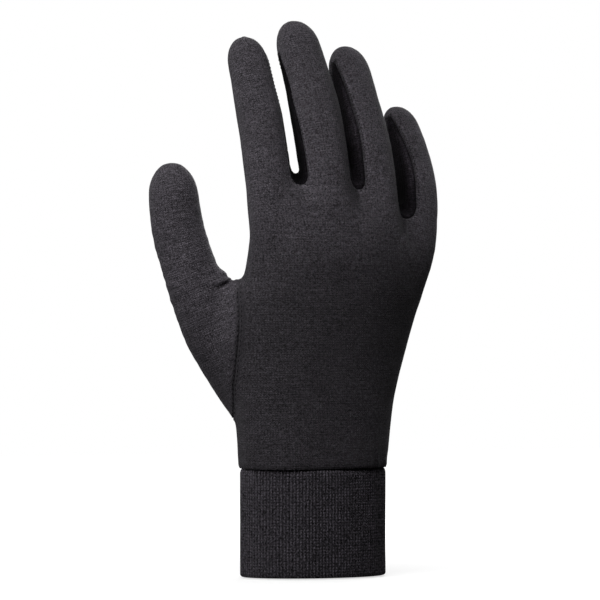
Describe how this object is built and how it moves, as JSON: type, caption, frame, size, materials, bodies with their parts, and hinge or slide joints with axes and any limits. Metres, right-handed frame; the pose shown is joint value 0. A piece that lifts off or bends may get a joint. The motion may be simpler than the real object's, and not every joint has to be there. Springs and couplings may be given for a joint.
{
  "type": "glove liner",
  "caption": "Thin knitted right-hand glove liner with a sewn-in thumb, side strips between the fingers and a straight ribbed cuff, filled out as if worn.",
  "frame": {"origin": "middle of the wrist opening, level with the lower edge of the cuff", "axes": "+Z from the wrist up to the fingertips, +X from the thumb side to the little finger side, -Y out of the back of the hand and +Y out of the palm"},
  "size_m": [0.1354, 0.0558, 0.2514],
  "materials": {
    "jersey": "matte heathered charcoal knit",
    "rib_knit": "matte charcoal fine rib knit"
  },
  "bodies": {
    "root": {"hand": "jersey", "thumb": "jersey", "side_strip_index_middle": "jersey", "side_strip_middle_ring": "jersey", "side_strip_ring_little": "jersey", "cuff": "rib_knit"}
  },
  "joints": []
}
